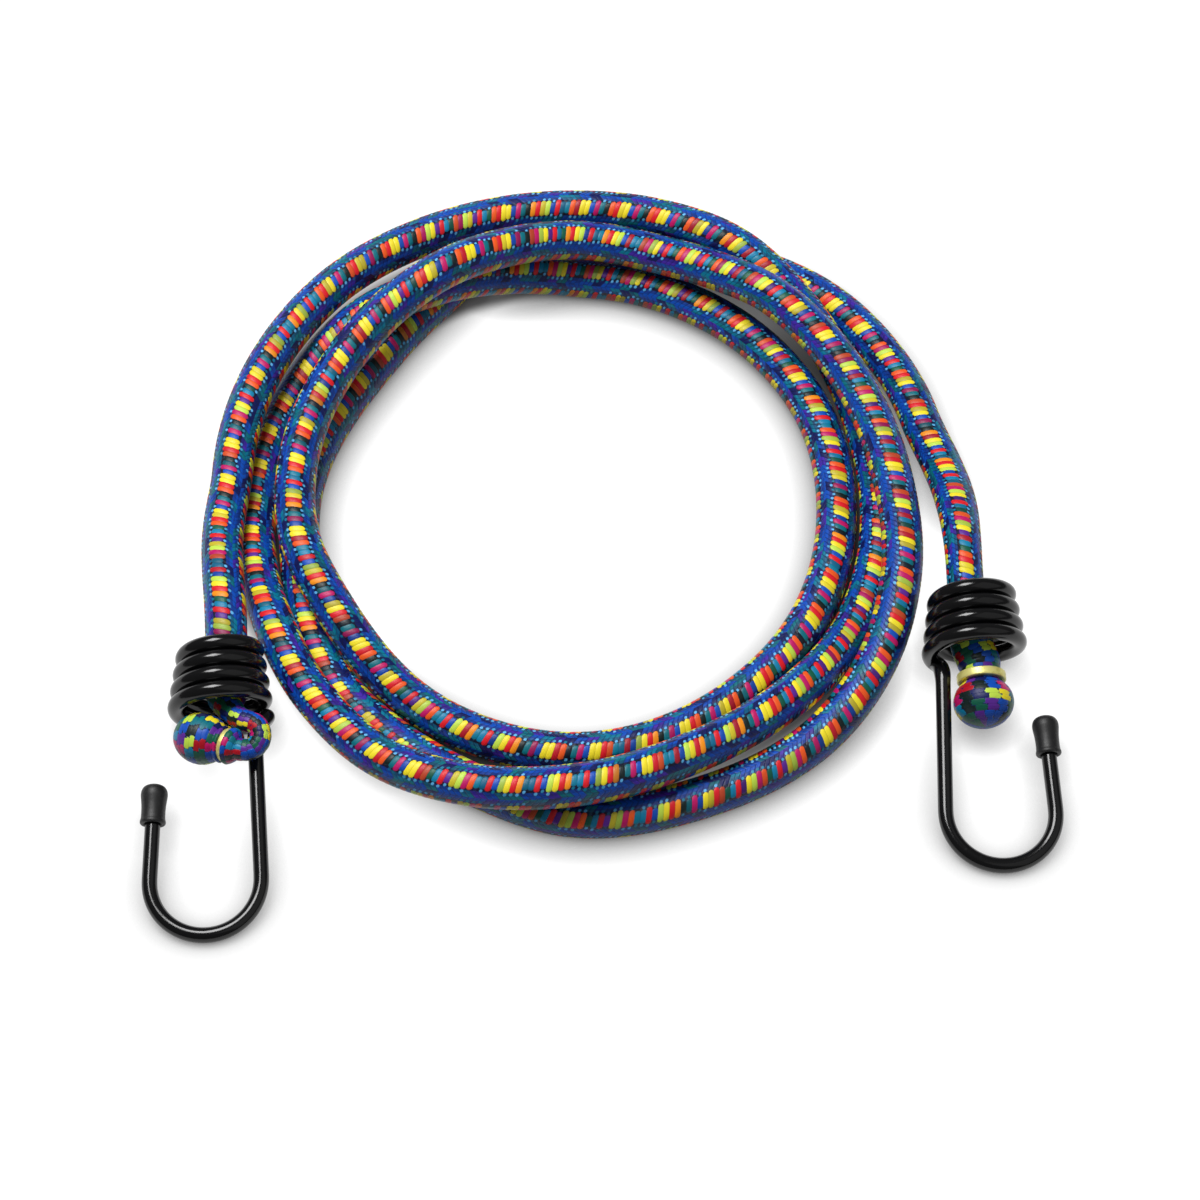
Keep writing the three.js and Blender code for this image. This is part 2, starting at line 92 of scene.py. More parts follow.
# Braid: picks along the cord, colour bands round it, and a relief of raised yarns
PICK = 1.24
PICKS_PER_REPEAT = 8
RINGS_PER_PICK = 4
BAND_ANGLE = 90.0
BANDS = 4
BAND_SHIFT_PICKS = 3
FLOAT_ANGLE = 25.0
FLOAT_LENGTHS = np.array([1.0, 1.04, 1.04, 1.0, 0.7, 0.98, 0.78, 0.7])
FLOAT_TAPER = 9.0
FLOAT_FULLNESS = 1.06
FLOAT_SLANT = 0.42
FLOAT_RELIEF = 0.26
FLOAT_CROWN = 1.7
CROWN_LEAST = 0.5
STITCH_ANGLE = 8.0
STITCH_ROW = FLOAT_ANGLE + 4.5
STITCH_SLANT = 0.05
STITCH_RELIEF = 0.12
STRIPE_LEVEL = 0.8
DEGREE_LENGTH = math.radians(CORD_RADIUS)

# Braid spread over a bulb: cells of colour, two picks long
KNOT_PICK = 1.15
KNOT_PICKS_PER_ROW = 2.0
KNOT_CELL_ANGLE = 27.7
KNOT_CELLS = 13
KNOT_ROW_SHIFT = 0.5
KNOT_SLANT = 0.22
KNOT_RELIEF = 0.17

# Wire hook
WIRE_RADIUS = 1.68
COATED_SPRING_RADIUS = 1.84
WIRE_SIDES = 24
WIRE_END_LENGTH = 0.6
WIRE_END_SHARE = 0.7
SPRING_TURNS = 4.05
SPRING_PITCH = 3.79
SPRING_SMALL_RADIUS = 7.75
SPRING_MOUTH_RADIUS = 10.0
SHANK_TOP = 6.2
SHANK_TOP_OFFSET = 7.4
SHANK_BEND_HANDLE = 4.2
BEND_RADIUS = 11.9
BEND_OFFSET = 3.5
BEND_DEPTH = 49.1
BEND_START_ANGLE = 182.0
BEND_END_ANGLE = -3.0
TIP_LEG = 19.7
FLOOR_CLEARANCE = 0.15
HOOK_A = {"x": -75.8, "y": -61.4, "turn": 3.0, "side": -1, "end_angle": 165.0, "turns": 4.05}
HOOK_B = {"x": 89.3, "y": -44.8, "turn": 0.5, "side": 1, "end_angle": 200.0, "turns": 3.75}

# Tip cap: (radius, distance from its lip)
CAP_LENGTH = 9.0
CAP_END_WALL = 1.5
CAP_FIT = 0.3
CAP_BORE = WIRE_RADIUS + 0.12
CAP_INSIDE = [(CAP_BORE, 2.0), (CAP_BORE, 0.15)]
CAP_OUTSIDE = [
    (2.2, 0.0), (2.55, 0.04), (2.76, 0.3), (2.78, 0.75), (2.66, 1.15), (2.6, 1.8), (2.59, 3.0),
    (2.66, 4.4), (2.8, 5.6), (2.89, 6.4), (2.88, 7.0), (2.72, 7.7), (2.3, 8.35), (1.55, 8.8),
    (0.8, 8.96), (0.02, CAP_LENGTH),
]
CAP_SEGMENTS = 48

# Cord ends; the neck leans away from the side that the bend of the hook opens to
NECK_OFFSET = 1.27
NECK_START = SPRING_TURNS * SPRING_PITCH + WIRE_RADIUS + 2.5
NECK_STRAIGHT = 1.3
FOLD_SLIT = 0.22
FOLD_RISE = 0.5
FOLD_REACH = 3.4
WAIST_MARGIN = 0.3
BULB_TIP_ANGLE = math.pi - 0.02
RING_FIT = 0.3
RING_BORE_FIT = 0.1
RING_CORNER = 0.3
RING_SEGMENTS = 72
# Rows of a tail: across, forward of the mouth of the spring, up, and radius
TAIL_A = {
    "rows": [
        (1.4, -3.4, 0.5, 3.9), (1.8, -1.8, 1.5, 3.2), (2.6, -0.2, 2.8, 2.7), (4.0, 1.7, 4.1, 2.35),
        (6.0, 3.2, 5.1, 2.2), (8.0, 4.3, 5.6, 2.2), (9.0, 6.1, 5.7, 2.2), (8.8, 8.2, 5.6, 2.2),
        (7.2, 9.7, 5.3, 2.2), (4.8, 9.7, 5.0, 2.3),
    ],
    "neck_end": -6.0,
    "ring": (1.65, 8.2, 4.0),
    "ring_way": (-0.87, -0.38, -0.3),
    "ring_width": 1.2,
    "ring_wall": 0.75,
    "waist": 2.6,
    "bulb": 5.5,
    "squat": 1.14,
    "fold": 3.95,
}
TAIL_B = {
    "rows": [(-0.9, -2.6, 0, 4.55), (-0.3, -0.6, 0, 4.6), (0.4, 1.4, 0, 4.6), (0.85, 3.0, 0, 4.5)],
    "neck_end": -5.0,
    "ring": (1.05, 6.0, 0.0),
    "ring_way": (0.03, 1.0, 0.0),
    "ring_width": 1.9,
    "ring_wall": 1.0,
    "waist": 4.1,
    "bulb": 6.5,
    "squat": 0.88,
    "fold": 0.0,
}

# How finely the paths are cut: counts of steps, lengths of a step, and rounds of smoothing
TURN_IN_STEPS = 24
BEND_STEPS = 64
SPRING_STEPS_PER_TURN = 64
SMALL_TURN = 0.01
WIRE_STEP = 0.5
WIRE_SMOOTHING = 6
LEAD_STEPS = 80
COIL_STEPS = 4000
ROUTE_SMOOTHING = 40
TAIL_STEPS = 12
TAIL_STEP = 0.25
FOLD_STEPS = 4
BULB_STEPS = 26
CAP_STEPS = 4
CORNER_STEPS = 6

# Camera: where it looks, from the middle of the coil
VIEW_TARGET = COIL_CENTRE + np.array([6.6, -24.0, 0.0])
VIEW_ELEVATION = 57.0
VIEW_DISTANCE = 700.0
VIEW_LENS = 92.5
SENSOR = 36.0
CLIP_START = 0.01
CLIP_END = 10

# Floor: painted contact shade, and a painted shadow in the ring that the pile of turns covers
FLOOR_SIZE = 3000.0
CONTACT_DISTANCE = 7.0
CONTACT_SAMPLES = 8
CONTACT_POWER = 1.3
# Painted shadow: the white lift is cut back from PILE_INNER out to PILE_OUTER round the coil, or out to
# RAISED_OUTER round RAISED_CENTRE
PILE_INNER = 62.0
PILE_OUTER = 79.0
PILE_EDGE = 4.0
PILE_PAINTED_SHADE = 0.85
RAISED_CENTRE = COIL_CENTRE + np.array([-1.5, 4.5, 0.0])
RAISED_OUTER = 82.5
RAISED_EDGE = 6.0

# Light: places and sizes in metres, power in watts
KEY_PLACE = (-0.3, 0.25, 1.0)
KEY_SIZE = 0.5
KEY_POWER = 12.0
FILL_PLACE = (0.8, -0.4, 1.0)
FILL_SIZE = 1.6
FILL_POWER = 2.4
WORLD_STRENGTH = 0.12


def unit(v):
    return np.asarray(v, float) / np.linalg.norm(v)


def rad(degrees):
    return math.radians(degrees)


VIEW_WAY = np.array([0, -math.cos(rad(VIEW_ELEVATION)), math.sin(rad(VIEW_ELEVATION))])


# Paths

def lay_at(angle, column):
    """Smooth value of one column of the coil lay at angles, through its rows."""
    x = COIL_LAY[:, 0]
    y = COIL_LAY[:, column]
    span = np.diff(x)
    slope = np.diff(y) / span
    knot = np.empty(len(x))
    knot[0] = slope[0]
    knot[-1] = slope[-1]
    knot[1:-1] = (span[1:] * slope[:-1] + span[:-1] * slope[1:]) / (span[1:] + span[:-1])
    i = np.clip(np.searchsorted(x, angle, side="right") - 1, 0, len(x) - 2)
    t = (angle - x[i]) / span[i]
    rise = t * t * (3 - 2 * t)
    ends = t * (1 - t) ** 2 * knot[i] - t * t * (1 - t) * knot[i + 1]
    return y[i] * (1 - rise) + y[i + 1] * rise + span[i] * ends


def coil_points(clockwise):
    """Points of the coil's line at angles from the start of its lay."""
    angle = np.pi - np.radians(clockwise)
    radius = lay_at(clockwise, 1)
    height = STRAND_HEIGHT + np.maximum(0, lay_at(clockwise, 2))
    return COIL_CENTRE + np.stack([radius * np.cos(angle), radius * np.sin(angle), height], axis=1)


def bezier(a, b, c, d, steps):
    t = np.linspace(0, 1, steps + 1)[:, None]
    return a * (1 - t) ** 3 + 3 * b * t * (1 - t) ** 2 + 3 * c * t * t * (1 - t) + d * t ** 3


def catmull(rows, steps):
    """Smooth rows through the given ones; each row is a point and what goes with it."""
    rows = np.asarray(rows, float)
    padded = np.vstack([2 * rows[0] - rows[1], rows, 2 * rows[-1] - rows[-2]])
    out = []
    for i in range(1, len(padded) - 2):
        p0, p1, p2, p3 = padded[i - 1:i + 3]
        for t in np.arange(steps) / steps:
            out.append(0.5 * (2 * p1 + (p2 - p0) * t + (2 * p0 - 5 * p1 + 4 * p2 - p3) * t ** 2
                              + (3 * p1 - p0 - 3 * p2 + p3) * t ** 3))
    out.append(rows[-1])
    return np.array(out)


def along(points):
    """Distance along the line at each of its points."""
    return np.concatenate([[0], np.cumsum(np.linalg.norm(np.diff(points, axis=0), axis=1))])


def resample(rows, distance):
    """Rows at even steps of about this distance along their first three columns."""
    rows = np.asarray(rows, float)
    s = along(rows[:, :3])
    count = max(2, int(round(s[-1] / distance)) + 1)
    at = np.linspace(0, s[-1], count)
    return np.stack([np.interp(at, s, rows[:, k]) for k in range(rows.shape[1])], axis=1)


def smooth(points, rounds):
    out = points.copy()
    for _ in range(rounds):
        out[1:-1] = 0.25 * out[:-2] + 0.5 * out[1:-1] + 0.25 * out[2:]
    return out


def ways_of(points):
    """Direction of the line at each of its points."""
    ways = np.gradient(points, axis=0)
    return ways / np.linalg.norm(ways, axis=1)[:, None]


# Hook frame: x across, -y forward from the mouth of the spring, z up from the plane of the bend

def spring_point(turns, end_angle):
    """Points of the spring's line, this many turns in from its mouth."""
    angle = rad(end_angle) - turns * 2 * np.pi
    radius = SPRING_MOUTH_RADIUS + (SPRING_SMALL_RADIUS - SPRING_MOUTH_RADIUS) * turns / SPRING_TURNS
    return np.stack([radius * np.cos(angle), turns * SPRING_PITCH, radius * np.sin(angle)], axis=-1)


def bend_point(angle):
    """Points of the round bend of the hook."""
    a = np.radians(angle)
    x = BEND_OFFSET + BEND_RADIUS * np.cos(a)
    forward = BEND_DEPTH - BEND_RADIUS + BEND_RADIUS * np.sin(a)
    return np.stack([x, -forward, np.zeros_like(a)], axis=-1)


TIP_WAY = np.array([math.sin(rad(BEND_END_ANGLE)), math.cos(rad(BEND_END_ANGLE)), 0.0])
TIP_END = bend_point(np.array(BEND_END_ANGLE)) + TIP_WAY * TIP_LEG


def wire_path(end_angle, turns):
    """The wire from its tip to the small end of its spring, with its radius."""
    foot = bend_point(np.array(BEND_START_ANGLE))
    top = np.array([-SHANK_TOP_OFFSET, -SHANK_TOP, 0.0])
    mouth = spring_point(np.array(0.0), end_angle)
    top_handle = top + SHANK_BEND_HANDLE * unit(top - foot)
    mouth_handle = mouth + SHANK_BEND_HANDLE * unit(mouth - spring_point(np.array(SMALL_TURN), end_angle))
    turn_in = bezier(top, top_handle, mouth_handle, mouth, TURN_IN_STEPS)
    bend = bend_point(np.linspace(BEND_END_ANGLE, BEND_START_ANGLE, BEND_STEPS))
    spring = spring_point(np.linspace(0, turns, int(turns * SPRING_STEPS_PER_TURN)), end_angle)
    straight = np.vstack([TIP_END[None], bend, top[None]])
    rows = np.vstack([straight, turn_in[1:], spring[1:]])
    radius = np.full(len(rows), COATED_SPRING_RADIUS)
    radius[:len(straight)] = WIRE_RADIUS
    even = smooth(resample(np.column_stack([rows, radius]), WIRE_STEP), WIRE_SMOOTHING)
    return even[:, :3], even[:, 3]


def hook_frame(hook):
    """Turn and place of a hook whose spring and bend both lie on the floor."""
    low = spring_point(np.array((hook["end_angle"] + 90 * hook["side"]) / 360), hook["end_angle"])
    depth = math.hypot(low[0], low[2]) + WIRE_RADIUS
    dip = math.atan((depth - WIRE_RADIUS) / (BEND_DEPTH + low[1]))
    height = depth * math.cos(dip) - low[1] * math.sin(dip) + FLOOR_CLEARANCE
    c, s = math.cos(dip), math.sin(dip)
    lean = np.array([[1, 0, 0], [0, c, -s], [0, s, c]])
    c, s = math.cos(rad(hook["turn"])), math.sin(rad(hook["turn"]))
    turn = np.array([[c, -s, 0], [s, c, 0], [0, 0, 1]])
    return turn @ lean, COIL_CENTRE + np.array([hook["x"], hook["y"], height])


def placed(points, hook, rolled=False):
    """Points of the hook frame in the scene; the wire of hook A is rolled over, and its cord isn't."""
    matrix, place = hook_frame(hook)
    points = np.asarray(points, float)
    if rolled and hook["side"] < 0:
        points = points * np.array([-1, 1, -1])
    return points @ matrix.T + place


# Meshes

def mesh_object(name, vertices, faces, uvs=None, materials=()):
    mesh = bpy.data.meshes.new(name)
    mesh.from_pydata((np.asarray(vertices) * MM).tolist(), [], faces)
    if uvs is not None:
        layer = mesh.uv_layers.new(name="yarn")
        layer.data.foreach_set("uv", np.asarray(uvs, np.float32).ravel())
    for material in materials:
        mesh.materials.append(material)
    mesh.polygons.foreach_set("use_smooth", [True] * len(mesh.polygons))
    mesh.update()
    obj = bpy.data.objects.new(name, mesh)
    bpy.context.scene.collection.objects.link(obj)
    return obj


def section_axes(points, reference, carried):
    """Two axes across the path at each point, from a fixed reference or carried along from the first."""
    ways = ways_of(points)
    if not carried:
        normal = reference - (ways @ reference)[:, None] * ways
        normal /= np.linalg.norm(normal, axis=1)[:, None]
    else:
        normal = np.empty_like(points)
        last = np.asarray(reference, float)
        for i, way in enumerate(ways):
            last = unit(last - last.dot(way) * way)
            normal[i] = last
    return normal, np.cross(ways, normal)


def tube_mesh(name, points, radius, sides, axes, start, materials, relief=None, closed=False, floor=None):
    """A tube of rings along the path; its uv is the distance along in mm and the turn round it."""
    normal, side = axes
    s = start + along(points)
    count = len(points)
    turn = np.arange(sides) / sides
    angle = 2 * np.pi * turn
    reach = np.broadcast_to(np.asarray(radius, float).reshape(-1, 1), (count, sides)).copy()
    if relief is not None:
        reach += relief(s[:, None], 360 * turn[None])
    spread = np.cos(angle)[None, :, None] * normal[:, None] + np.sin(angle)[None, :, None] * side[:, None]
    rings = points[:, None] + reach[:, :, None] * spread
    if floor is not None:
        rings[:, :, 2] = np.maximum(rings[:, :, 2], floor)
    vertices = rings.reshape(-1, 3)
    i, k = np.meshgrid(np.arange(count - 1), np.arange(sides), indexing="ij")
    here = i * sides
    ahead = here + sides
    nxt = (k + 1) % sides
    faces = np.stack([here + k, here + nxt, ahead + nxt, ahead + k], axis=-1).reshape(-1, 4).tolist()
    uvs = [np.stack([
        np.stack([s[i], s[i], s[i + 1], s[i + 1]], axis=-1),
        np.stack([k / sides, (k + 1) / sides, (k + 1) / sides, k / sides], axis=-1),
    ], axis=-1).reshape(-1, 2)]
    if closed:
        vertices = np.vstack([vertices, points[0], points[-1]])
        for pole, ring in ((count * sides, 0), (count * sides + 1, count - 1)):
            for j in range(sides):
                a = ring * sides + j
                b = ring * sides + (j + 1) % sides
                faces.append([pole, b, a] if ring == 0 else [pole, a, b])
                uvs.append(np.array([[s[ring], j / sides]] * 3))
    return mesh_object(name, vertices, faces, np.vstack(uvs), materials)


def lathe_mesh(name, profile, segments, place, way, materials):
    """A closed solid of revolution from (radius, distance along) pairs, placed along a direction."""
    way = unit(way)
    across = unit(np.cross(way, UP))
    over = np.cross(way, across)
    profile = np.asarray(profile, float)
    angle = 2 * np.pi * np.arange(segments) / segments
    rings = (place + profile[:, 1, None, None] * way
             + profile[:, 0, None, None] * (np.cos(angle)[None, :, None] * across
                                            + np.sin(angle)[None, :, None] * over))
    faces = []
    uvs = []
    for i in range(len(profile) - 1):
        here = i * segments
        ahead = here + segments
        for k in range(segments):
            nxt = (k + 1) % segments
            faces.append([here + k, here + nxt, ahead + nxt, ahead + k])
            uvs += [(profile[i, 1], k / segments), (profile[i, 1], (k + 1) / segments),
                    (profile[i + 1, 1], (k + 1) / segments), (profile[i + 1, 1], k / segments)]
    obj = mesh_object(name, rings.reshape(-1, 3), faces, uvs, materials)
    obj.data.validate()
    return obj


# Materials

def linear(r, g, b):
    """A colour for a shader from its screen values of 0 to 255."""
    def one(v):
        v /= 255
        return v / 12.92 if v <= 0.04045 else ((v + 0.055) / 1.055) ** 2.4
    return (one(r), one(g), one(b), 1.0)


BLUE = linear(8, 80, 188)
BLUE_LIGHT = linear(104, 190, 246)
BLUE_DARK = linear(10, 24, 92)
BLUE_GREEN = linear(0, 124, 156)
BLUE_VIOLET = linear(70, 40, 172)
# NOTCH is the colour of the painted shade in the notches between floats, and the dark that worn floats are
# mixed towards
NOTCH = linear(8, 16, 48)
RED = linear(226, 26, 40)
ORANGE = linear(244, 92, 30)
AMBER = linear(250, 150, 24)
DEEP_RED = linear(178, 16, 34)
CRIMSON = linear(196, 18, 104)
YELLOW = linear(252, 232, 44)
LEMON = linear(200, 232, 80)
TEAL = linear(0, 112, 128)
SKY = linear(8, 132, 176)
GREEN = linear(8, 92, 70)
INK = linear(8, 30, 30)
PURPLE = linear(92, 36, 150)

# Colours of the picks of a repeat in three sets, of the stripes' patches, and of the cells on a bulb
FIRST_SET = [ORANGE, RED, YELLOW, YELLOW, BLUE, CRIMSON, TEAL, INK]
SECOND_SET = [ORANGE, CRIMSON, LEMON, YELLOW, PURPLE, RED, SKY, GREEN]
THIRD_SET = [AMBER, RED, YELLOW, LEMON, BLUE, RED, SKY, BLUE_GREEN]
STRIPE_BLUES = [BLUE, BLUE_VIOLET, BLUE, BLUE_GREEN, BLUE, BLUE_DARK, BLUE, TEAL]
KNOT_COLOURS = [
    BLUE, YELLOW, BLUE_DARK, DEEP_RED, SKY, GREEN, INK, LEMON, TEAL, BLUE, GREEN, PURPLE, CRIMSON, BLUE,
]

# Floats and stripes in the material. A pair gives where a change begins and where it is complete.
FLOAT_EDGE = (-0.04, 0.06)
FLOAT_LEAST = 0.9
FLOAT_UNEVEN = 0.16
FLOAT_RIDGE = (0.0, 0.6)
FLOAT_WEAR = 0.5
WORN = (0.45, 0.0)
SECOND_SET_FROM = 0.4
THIRD_SET_FROM = 0.72
END_GROOVE = (-0.12, 0.1)
END_GROOVE_SHARE = 0.6
SIDE_GROOVE = (0.0, 0.26)
SIDE_GROOVE_SHARE = 0.4
STITCHES_PER_PATCH = 2.0
STITCH_DARK = (0.5, 0.0)
STITCH_DARK_SHARE = 0.5
STITCH_RIDGE = (0.5, 0.3)
STITCH_GROOVE_SHARE = 0.5
DOT_EDGE = (0.46, 0.24)
DOT_SEEN = (0.16, 0.36)
DOT_PALE = (0.35, 0.85)
ROW_EDGE = (6.5, 4.5)
ROW_SHADE_SHARE = 0.5
NOTCH_EDGE = (1.0, -1.0)
# Shifts that keep one random choice apart from the others
SET_SEED = 0.37
WEAR_SEED = 0.21
DOT_SEED = 0.7
ROW_SEED = 11.0

# Bulbs in the material
KNOT_RAG_SCALE = 1500.0
KNOT_RAG = 0.5
KNOT_FULLNESS = 1.1
KNOT_EDGE = (-0.04, 0.08)
KNOT_RIDGE = (-0.5, 0.6)
KNOT_GROOVE = (-0.3, 0.3)
KNOT_STITCHES_PER_PICK = 2.0
KNOT_STITCH_ANGLE = 9.0
KNOT_STITCH_PALE = (0.8, 0.98)
KNOT_STITCH_DARK = (0.5, 0.1)

# Surface of the yarn
# GROOVE_SHADE is the colour of the painted shade in the grooves between the yarns
GROOVE_SHADE = (0.08, 0.08, 0.11, 1)
FIBRES_PER_PICK = 4
FIBRE_TINT = 0.2
FIBRE_TINT_LEAST = 0.86
FIBRE_HEIGHT = 0.25
FUZZ_SCALE = 2600.0
FUZZ_HEIGHT = 0.15
FUZZ_ROUGHNESS = 0.16
YARN_ROUGHNESS = 0.34
YARN_SPECULAR = 0.35

# Surfaces of the hooks, caps and rings, and of the floor
COAT_BLACK = (0.004, 0.004, 0.0045, 1)
COAT_SCUFFED = (0.01, 0.01, 0.011, 1)
COAT_ROUGHNESS = 0.16
COAT_SPECULAR = 0.42
SCUFF_SCALE = 420.0
SCUFF_EDGE = (0.6, 0.78)
SCUFF_ROUGHNESS = 0.14
PEEL_SCALE = 900.0
CAP_BLACK = (0.006, 0.006, 0.0065, 1)
CAP_DUSTY = (0.016, 0.016, 0.017, 1)
CAP_ROUGHNESS = 0.4
GRAIN_SCALE = 2400.0
GRAIN_ROUGHNESS = 0.18
DUST_SCALE = 500.0
DUST_EDGE = (0.5, 0.8)
BRASS_PALE = linear(238, 230, 140)
BRASS_TARNISHED = linear(212, 198, 96)
BRASS_METALLIC = 0.35
BRASS_ROUGHNESS = 0.3
SCRATCHES_PER_MM = 14.0
SCRATCH_ROUGHNESS = 0.14
TARNISH_SCALE = 700.0
TARNISH_EDGE = (0.45, 0.75)
FLOOR_COLOUR = (0.1, 0.1, 0.1, 1)
FLOOR_ROUGHNESS = 0.9
FLOOR_SPECULAR = 0.1


class Shader:
    """Short names for the nodes of one material."""

    def __init__(self, name):
        self.material = bpy.data.materials.new(name)
        self.material.use_nodes = True
        self.tree = self.material.node_tree
        self.principled = self.tree.nodes["Principled BSDF"]

    def node(self, kind, **settings):
        made = self.tree.nodes.new(kind)
        for key, value in settings.items():
            setattr(made, key, value)
        return made

    def put(self, socket, value):
        if isinstance(value, bpy.types.NodeSocket):
            self.tree.links.new(value, socket)
        else:
            socket.default_value = value

    def math(self, operation, *values):
        made = self.node("ShaderNodeMath", operation=operation)
        for socket, value in zip(made.inputs, values):
            self.put(socket, value)
        return made.outputs[0]

    def ease(self, value, low, high):
        """0 at low and before it, 1 at high and beyond it."""
        made = self.node("ShaderNodeMapRange", interpolation_type="SMOOTHSTEP")
        self.put(made.inputs["Value"], value)
        made.inputs["From Min"].default_value = low
        made.inputs["From Max"].default_value = high
        return made.outputs["Result"]

    def mix(self, share, a, b, blend="MIX"):
        made = self.node("ShaderNodeMix", data_type="RGBA", blend_type=blend)
        self.put(made.inputs[0], share)
        self.put(made.inputs[6], a)
        self.put(made.inputs[7], b)
        return made.outputs[2]

    def between(self, share, a, b):
        made = self.node("ShaderNodeMix", data_type="FLOAT")
        self.put(made.inputs[0], share)
        self.put(made.inputs[2], a)
        self.put(made.inputs[3], b)
        return made.outputs[0]

    def steps(self, value, colours):
        """One of the colours, by a value from 0 to 1."""
        made = self.node("ShaderNodeValToRGB")
        ramp = made.color_ramp
        ramp.interpolation = "CONSTANT"
        while len(ramp.elements) < len(colours):
            ramp.elements.new(1.0)
        for i, colour in enumerate(colours):
            ramp.elements[i].position = i / len(colours)
            ramp.elements[i].color = colour
        self.put(made.inputs[0], value)
        return made.outputs["Color"]

    def random(self, x, y):
        both = self.node("ShaderNodeCombineXYZ")
        self.put(both.inputs[0], x)
        self.put(both.inputs[1], y)
        made = self.node("ShaderNodeTexWhiteNoise", noise_dimensions="2D")
        self.tree.links.new(both.outputs[0], made.inputs["Vector"])
        return made.outputs["Value"]

    def distance(self, place, centre):
        made = self.node("ShaderNodeVectorMath", operation="DISTANCE")
        self.put(made.inputs[0], place)
        made.inputs[1].default_value = centre.tolist()
        return made.outputs["Value"]

    def noise(self, scale, detail, roughness=0.55):
        place = self.node("ShaderNodeTexCoord")
        made = self.node("ShaderNodeTexNoise")
        made.inputs["Scale"].default_value = scale
        made.inputs["Detail"].default_value = detail
        made.inputs["Roughness"].default_value = roughness
        self.tree.links.new(place.outputs["Object"], made.inputs["Vector"])
        return made.outputs["Fac"]

    def yarn(self):
        """Distance along the cord in mm, and degrees round it."""
        layer = self.node("ShaderNodeUVMap", uv_map="yarn")
        parts = self.node("ShaderNodeSeparateXYZ")
        self.tree.links.new(layer.outputs[0], parts.inputs[0])
        return parts.outputs[0], self.math("MULTIPLY", parts.outputs[1], 360.0)

    def bump(self, height, strength, distance):
        made = self.node("ShaderNodeBump")
        made.inputs["Strength"].default_value = strength
        made.inputs["Distance"].default_value = distance
        self.put(made.inputs["Height"], height)
        self.tree.links.new(made.outputs[0], self.principled.inputs["Normal"])

    def set(self, **values):
        for key, value in values.items():
            self.put(self.principled.inputs[key.replace("_", " ")], value)


def finish_yarn(m, colour, ridge, groove, within):
    """Fine fibres, painted shade in the grooves between the yarns, and the satin of the yarn."""
    # Painted shade: the colour is darkened towards GROOVE_SHADE where the groove share is low
    colour = m.mix(1.0, colour, m.mix(groove, GROOVE_SHADE, WHITE), "MULTIPLY")
    fibres = m.math("ABSOLUTE", m.math("SINE", m.math("MULTIPLY", within, FIBRES_PER_PICK * math.pi)))
    tint = m.math("MULTIPLY_ADD", fibres, FIBRE_TINT, FIBRE_TINT_LEAST)
    grey = m.node("ShaderNodeCombineColor")
    for socket in grey.inputs:
        m.put(socket, tint)
    colour = m.mix(1.0, colour, grey.outputs[0], "MULTIPLY")
    fuzz = m.noise(FUZZ_SCALE, detail=2.0)
    height = m.math("ADD", ridge, m.math("MULTIPLY", fibres, FIBRE_HEIGHT))
    height = m.math("MULTIPLY_ADD", fuzz, FUZZ_HEIGHT, height)
    m.bump(height, strength=0.5, distance=0.0001)
    m.set(Base_Color=colour,
          Roughness=m.math("MULTIPLY_ADD", fuzz, FUZZ_ROUGHNESS, YARN_ROUGHNESS),
          Specular_IOR_Level=YARN_SPECULAR)
    return m.material


